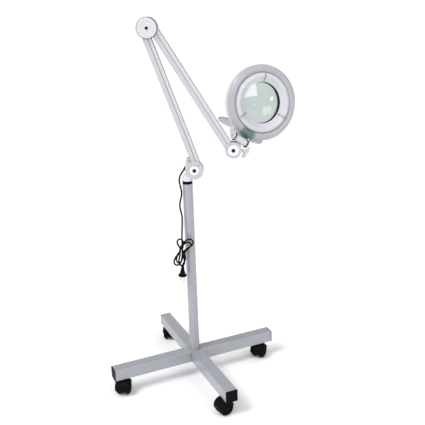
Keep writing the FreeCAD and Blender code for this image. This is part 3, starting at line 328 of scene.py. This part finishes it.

# ---- the arms in the plane they move in: mm from the channels' pivots, along and across each arm
# painted shade: dark lines along the arms' edges, and a painted shadow in the seam between the outer and the
# inner channel
ARM_EDGE_SHADE = (0.26, 0.26, 0.29)
ARM_SEAM_SHADOW = (0.15, 0.15, 0.17)
# one white paint in two tones: the outer channels are painted darker as if shaded, the inner ones lighter as
# if lit
OUTER_CHANNEL_SHADED_GREY = (0.50, 0.505, 0.54)
INNER_CHANNEL_LIT_GREY = (0.56, 0.56, 0.58)
LOWER_PIVOT = Vector((25.7, 0.0, 722.0))
UPPER_PIVOT = Vector((-84.3, 0.0, 1122.4))
LOWER_LEAN = math.radians(19.0)
UPPER_LEAN = math.radians(31.0)
LOWER_ALONG = Vector((-math.sin(LOWER_LEAN), 0.0, math.cos(LOWER_LEAN)))
UPPER_ALONG = Vector((math.sin(UPPER_LEAN), 0.0, -math.cos(UPPER_LEAN)))
LOWER_ACROSS = Vector((math.cos(LOWER_LEAN), 0.0, math.sin(LOWER_LEAN)))
UPPER_ACROSS = Vector((math.cos(UPPER_LEAN), 0.0, math.sin(UPPER_LEAN)))
OUTER_LEFT = -6.5           # edges of the outer channel, from its pivot
OUTER_RIGHT = 6.7
INNER_RIGHT = 6.0           # edge of the inner channel, from its own pivot
LOWER_LINK_FROM = 11.6      # from the outer channel's pivot to the inner one's
UPPER_LINK_FROM = 12.9
SEAM_SHADOW_BESIDE = 0.5           # middle of the painted seam shadow, past the outer channel's edge


def arm_finish(name, colour, pivot, across, shade_lines):
    """Painted channel with lines of painted shade along it; each is given as (place across the arm, near,
    far, colour).
    """
    stripes = tuple(
        ((pivot + across * at) * MM, across, near * MM, far * MM, shade) for at, near, far, shade in shade_lines
    )
    return coated(
        name, colour, 0.36, coat=0.2, drift=0.02, bump=0.03, dirt=(0.55, 0.55, 0.58), stripes=stripes
    )


OUTER_SHADE_LINES = ((OUTER_LEFT, 0.4, 1.6, ARM_EDGE_SHADE), (OUTER_RIGHT, 0.2, 0.9, ARM_EDGE_SHADE))
LOWER_INNER_SHADE_LINES = (
    (OUTER_RIGHT + SEAM_SHADOW_BESIDE, 0.4, 1.2, ARM_SEAM_SHADOW),
    (LOWER_LINK_FROM + INNER_RIGHT, 0.3, 1.6, ARM_EDGE_SHADE),
)
UPPER_INNER_SHADE_LINES = (
    (OUTER_RIGHT + SEAM_SHADOW_BESIDE, 0.3, 1.2, ARM_EDGE_SHADE),
    (UPPER_LINK_FROM + INNER_RIGHT, 0.3, 1.6, ARM_EDGE_SHADE),
)
LOWER_OUTER = arm_finish("lower_outer_paint_and_shade", OUTER_CHANNEL_SHADED_GREY, LOWER_PIVOT, LOWER_ACROSS, OUTER_SHADE_LINES)
UPPER_OUTER = arm_finish("upper_outer_paint_and_shade", OUTER_CHANNEL_SHADED_GREY, UPPER_PIVOT, UPPER_ACROSS, OUTER_SHADE_LINES)
LOWER_INNER = arm_finish("lower_inner_paint_and_shade", INNER_CHANNEL_LIT_GREY, LOWER_PIVOT, LOWER_ACROSS, LOWER_INNER_SHADE_LINES)
UPPER_INNER = arm_finish("upper_inner_paint_and_shade", INNER_CHANNEL_LIT_GREY, UPPER_PIVOT, UPPER_ACROSS, UPPER_INNER_SHADE_LINES)

PLATE_WHITE = coated(
    "plate_white", (0.49, 0.49, 0.515), 0.40, coat=0.1, drift=0.05, grain=700.0, bump=0.10,
    dirt=(0.62, 0.62, 0.64),
)
WASHER_WHITE = coated("washer_white", (0.84, 0.84, 0.85), 0.35, coat=0.2, drift=0.02, bump=0.02)
SHELL_WHITE = coated("shell_white", (0.62, 0.615, 0.645), 0.42, drift=0.02, bump=0.06, subsurface=0.05)
# the cover's grey, with the teal patch and the painted shade at its lower edge
COVER_GREY = coated(
    "cover_grey", (0.40, 0.394, 0.43), 0.34, coat=0.2, drift=0.03, bump=0.03, subsurface=0.2,
    tints=(TEAL_TINT, TEAL_PAINTED_SHADE),
)
RING_PALE = coated("ring_pale", (0.56, 0.56, 0.60), 0.25, coat=0.4, drift=0.02, bump=0.02, subsurface=0.15)
BLACK_PLASTIC = coated(
    "black_plastic", (0.0035, 0.0035, 0.003), 0.5, drift=0.2, grain=1400.0, bump=0.08, specular=0.05
)
BLACK_RUBBER = rubber("black_rubber", (0.004, 0.004, 0.004), 0.65)
TYRE = rubber("tyre", (0.005, 0.005, 0.006), 0.55)
# painted highlight: light caught in the hexagon sockets of the bracket's and the knuckle's bolts, painted
# into their colour
PAINTED_GLINT = (0.55, 0.55, 0.56)
PAINTED_SOCKET_GLINTS = (
    (Vector((0.0236, -0.0175, 0.7069)), 0.0012, 0.0024, PAINTED_GLINT),
    (Vector((0.1437, -0.0177, 0.7662)), 0.0012, 0.0024, PAINTED_GLINT),
)
# black steel, with the painted socket highlights as tints
BLACK_STEEL = coated("black_steel", (0.005, 0.005, 0.005), 0.4, drift=0.2, specular=0.1, tints=PAINTED_SOCKET_GLINTS)
STEEL = brushed("zinc_steel", (0.70, 0.70, 0.72), 0.3)
DARK_STEEL = brushed("dark_steel", (0.36, 0.36, 0.38), 0.35)
SPRING = brushed("spring_steel", (0.45, 0.45, 0.46), 0.3)
PIN_METAL = brushed("nickel_pins", (0.72, 0.68, 0.60), 0.25)
CLIP_GREY = coated("clip_grey", (0.30, 0.30, 0.32), 0.35, coat=0.2, drift=0.03, bump=0.02)
# painted shade: the dust cover's grey is darkened because its visible sliver lies in shadow
DUST_COVER_SHADE_GREY = coated("dust_cover_shade_grey", (0.31, 0.305, 0.335), 0.34, coat=0.2, drift=0.03, bump=0.03, subsurface=0.2)
KNOB_WHITE = coated("knob_white", (0.58, 0.58, 0.60), 0.25, coat=0.5, drift=0.02, bump=0.01)
LENS_GLASS = glass("lens_glass", (0.54, 0.60, 0.58))
LAMP_GLASS = coated("lamp_glass", (0.86, 0.86, 0.84), 0.2, coat=0.6, drift=0.02)
CORD_BLACK = coated(
    "cord_black", (0.0035, 0.0035, 0.004), 0.42, drift=0.2, grain=1100.0, bump=0.08, specular=0.07
)

FINISHES = {
    "base_cross_tube": BASE_GREY,
    "base_side_tubes": BASE_GREY,
    "post_tube": BASE_GREY,
    "end_caps": BLACK_PLASTIC,
    "post_bush": BLACK_PLASTIC,
    "post_foot_bolt": STEEL,
    "caster_stems": STEEL,
    "bracket_neck": ARM_WHITE,
    "bracket_plates": PLATE_WHITE,
    "bracket_bolt": BLACK_STEEL,
    "bracket_washers": WASHER_WHITE,
    "bracket_pins": DARK_STEEL,
    "cord_grommet": BLACK_RUBBER,
    "power_plug": BLACK_PLASTIC,
    "plug_pins": PIN_METAL,
    "lower_arm_outer": LOWER_OUTER,
    "lower_arm_inner": LOWER_INNER,
    "upper_arm_outer": UPPER_OUTER,
    "upper_arm_inner": UPPER_INNER,
    "lower_springs": SPRING,
    "upper_springs": SPRING,
    "elbow_plates": ARM_WHITE,
    "elbow_gaskets": BLACK_RUBBER,
    "elbow_covers": ARM_WHITE,
    "elbow_bolt": BLACK_STEEL,
    "elbow_pins": DARK_STEEL,
    "knuckle_plates": PLATE_WHITE,
    "knuckle_bolt": BLACK_STEEL,
    "knuckle_washers": WASHER_WHITE,
    "knuckle_pins": DARK_STEEL,
    "swivel_socket": ARM_WHITE,
    "clamp_knob": KNOB_WHITE,
    "swivel_tee": ARM_WHITE,
    "friction_washers": BLACK_RUBBER,
    "neck_bracket": ARM_WHITE,
    "tilt_bolt": STEEL,
    "head_shell": SHELL_WHITE,
    "front_cover": COVER_GREY,
    "terminal_cover": COVER_GREY,
    "lens_ring": RING_PALE,
    "lens_clips": CLIP_GREY,
    "lens": LENS_GLASS,
    "lens_gasket": BLACK_RUBBER,
    "circline_lamp": LAMP_GLASS,
    "tube_cradles": RING_PALE,
    "ballast": BLACK_STEEL,
    "dust_cover": DUST_COVER_SHADE_GREY,
    "dust_cover_hinge": SHELL_WHITE,
    "switch_bezel": BLACK_PLASTIC,
    "switch_rocker": BLACK_PLASTIC,
}
for side in ("right", "back", "left", "front"):
    FINISHES["caster_hood_" + side] = BLACK_PLASTIC
    FINISHES["caster_wheels_" + side] = TYRE


def give(piece, material):
    piece.data.materials.clear()
    piece.data.materials.append(material)


# ---------------------------------------------------------------- springs inside the arms
SPRING_R = 2.75         # middle of the wire, in mm as all lengths here
WIRE_R = 0.5
COIL_PITCH = 1.5
COIL_STEPS = 12
WIRE_SIDES = 5
COILS_APART = 7.8       # between the two springs' axes
END_ASIDE = 2.8         # the straight ends, from their spring's axis
END_REACH = 12.0        # each straight end goes this far past the coil
END_LENGTH = 12.4


def wire(build, path):
    """Round wire along path, a list of (place, sideways, lengthways) in mm."""
    rings = []
    for place, out, run in path:
        ring = []
        for corner in range(WIRE_SIDES):
            turn = 2 * math.pi * corner / WIRE_SIDES
            offset = math.cos(turn) * out + math.sin(turn) * run
            ring.append(build.verts.new((place + WIRE_R * offset) * MM))
        rings.append(ring)
    for near, far in zip(rings, rings[1:]):
        for corner in range(WIRE_SIDES):
            after = (corner + 1) % WIRE_SIDES
            build.faces.new((near[corner], near[after], far[after], far[corner]))
    build.faces.new(rings[0])
    build.faces.new(rings[-1])


def spring_pair(name, pivot, along, across, coil_from, coil_to, middle):
    """Two wound springs side by side with straight ends; distances from the pivot, in mm."""
    mesh = bpy.data.meshes.new(name)
    build = bmesh.new()
    sideways = Vector((0.0, 1.0, 0.0))
    length = coil_to - coil_from - 2 * WIRE_R
    count = int(length / COIL_PITCH) * COIL_STEPS
    for side in (-0.5, 0.5):
        axis = pivot + across * middle + sideways * side * COILS_APART
        coil = []
        for step in range(count + 1):
            turn = 2 * math.pi * step / COIL_STEPS
            out = math.cos(turn) * across + math.sin(turn) * sideways
            level = coil_from + WIRE_R + length * step / count
            coil.append((axis + along * level + out * SPRING_R, out, along))
        wire(build, coil)
        for level, step in ((coil_from - END_REACH, END_LENGTH), (coil_to + END_REACH, -END_LENGTH)):
            foot = axis + sideways * END_ASIDE + along * level
            wire(build, [(foot, across, sideways), (foot + along * step, across, sideways)])
    bmesh.ops.recalc_face_normals(build, faces=build.faces)
    build.to_mesh(mesh)
    build.free()
    for face in mesh.polygons:
        face.use_smooth = True
    pair = bpy.data.objects.new(name, mesh)
    bpy.context.scene.collection.objects.link(pair)
    return pair


lower_coils = spring_pair("lower_coils", LOWER_PIVOT, LOWER_ALONG, LOWER_ACROSS, 34.0, 218.0, 5.6)
upper_coils = spring_pair("upper_coils", UPPER_PIVOT, UPPER_ALONG, UPPER_ACROSS, 36.0, 220.0, 6.2)
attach(lower_coils, "lower_arm")
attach(upper_coils, "upper_arm")
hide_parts("lower_springs")
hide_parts("upper_springs")
for coils in (lower_coils, upper_coils):
    give(coils, SPRING)
for name, material in FINISHES.items():
    give(nodes[name], material)


# ---------------------------------------------------------------- rounded edges
SHARP_EDGE = math.radians(50.0)


def soften(width, *names):
    """Small rounded edges that catch the light, inside the designed outline; width in mm."""
    for name in names:
        rounding = nodes[name].modifiers.new("edges", "BEVEL")
        rounding.width = width * MM
        rounding.segments = 2
        rounding.limit_method = "ANGLE"
        rounding.angle_limit = SHARP_EDGE


soften(1.6, "base_cross_tube", "base_side_tubes")
soften(0.9, "end_caps")
soften(0.35, "lower_arm_outer", "upper_arm_outer", "lower_arm_inner", "upper_arm_inner")
soften(0.4, "bracket_plates", "knuckle_plates", "bracket_washers", "knuckle_washers")
soften(0.4, "swivel_socket", "neck_bracket")
soften(1.2, "clamp_knob")
soften(0.8, "power_plug")
give(cord, CORD_BLACK)


# ---------------------------------------------------------------- floor and light
FLOOR_HALF = 60.0
FLOOR_WHITE = (0.92, 0.92, 0.92, 1.0)
WORLD_COLOUR = (0.975, 0.985, 1.0, 1.0)
WORLD_LIGHT = 0.82
WORLD_SEEN = 1.05       # strength of the plain white that the camera sees, straight or through the lens
SUN_TOWARD = (0.62, 0.42, -1.0)
POST_MIDDLE = (0.0, 0.0, 0.6)


def make_stage():
    mesh = bpy.data.meshes.new("floor")
    build = bmesh.new()
    signs = ((-1, -1), (1, -1), (1, 1), (-1, 1))
    corners = [build.verts.new((x * FLOOR_HALF, y * FLOOR_HALF, 0.0)) for x, y in signs]
    build.faces.new(corners)
    build.to_mesh(mesh)
    build.free()
    floor = bpy.data.objects.new("floor", mesh)
    bpy.context.scene.collection.objects.link(floor)
    material, tree, shader = node_material("floor_white")
    shader.inputs["Base Color"].default_value = FLOOR_WHITE
    shader.inputs["Roughness"].default_value = 0.9
    floor.data.materials.append(material)


def make_world():
    """White studio, brightest overhead and behind the viewer; seen directly it is plain white."""
    world = bpy.data.worlds.new("studio")
    world.use_nodes = True
    tree = world.node_tree
    background = tree.nodes["Background"]
    background.inputs["Color"].default_value = WORLD_COLOUR
    split = tree.nodes.new("ShaderNodeSeparateXYZ")
    link(tree, tree.nodes.new("ShaderNodeTexCoord").outputs["Generated"], split.inputs["Vector"])
    overhead = remap(tree, split.outputs["Z"], -0.1, 1.0, 0.62, 1.25)
    behind = remap(tree, split.outputs["Y"], -1.0, 0.3, 1.15, 0.75)
    level = number_math(tree, "MULTIPLY", overhead, behind)
    level_dim = remap(tree, level, 0.0, 1.0, 0.0, WORLD_LIGHT)
    seen = tree.nodes.new("ShaderNodeMix")
    rays = tree.nodes.new("ShaderNodeLightPath")
    straight = number_math(
        tree, "MAXIMUM", rays.outputs["Is Camera Ray"], rays.outputs["Is Transmission Ray"]
    )
    link(tree, straight, seen.inputs["Factor"])
    link(tree, level_dim, seen.inputs["A"])
    seen.inputs["B"].default_value = WORLD_SEEN
    link(tree, seen.outputs["Result"], background.inputs["Strength"])
    bpy.context.scene.world = world


def sun_light(toward, strength, softness):
    """Soft key light; toward is the way it shines and softness its width in degrees."""
    data = bpy.data.lights.new("key", "SUN")
    data.energy = strength
    data.angle = math.radians(softness)
    lamp = bpy.data.objects.new("key", data)
    lamp.matrix_world = Vector(toward).to_track_quat("-Z", "Y").to_matrix().to_4x4()
    bpy.context.scene.collection.objects.link(lamp)


def area_light(name, place, target, size, power):
    """Rectangular lamp at place, turned to face target; size in metres, power in watts."""
    data = bpy.data.lights.new(name, "AREA")
    data.shape = "RECTANGLE"
    data.size, data.size_y = size
    data.energy = power
    lamp = bpy.data.objects.new(name, data)
    aim = (Vector(target) - Vector(place)).to_track_quat("-Z", "Y")
    lamp.matrix_world = Matrix.Translation(Vector(place)) @ aim.to_matrix().to_4x4()
    bpy.context.scene.collection.objects.link(lamp)


make_stage()
make_world()
sun_light(SUN_TOWARD, 1.7, 24.0)
area_light("softbox", (1.683, -1.796, 1.753), HEAD_CENTRE, (0.84, 0.70), 12.5)
area_light("lamp", (2.520, -0.961, 1.160), HEAD_CENTRE, (0.16, 0.16), 0.9)
area_light("strip", (-0.8, -2.4, 1.0), POST_MIDDLE, (0.15, 2.0), 6.0)

bpy.context.scene.view_settings.view_transform = "Standard"
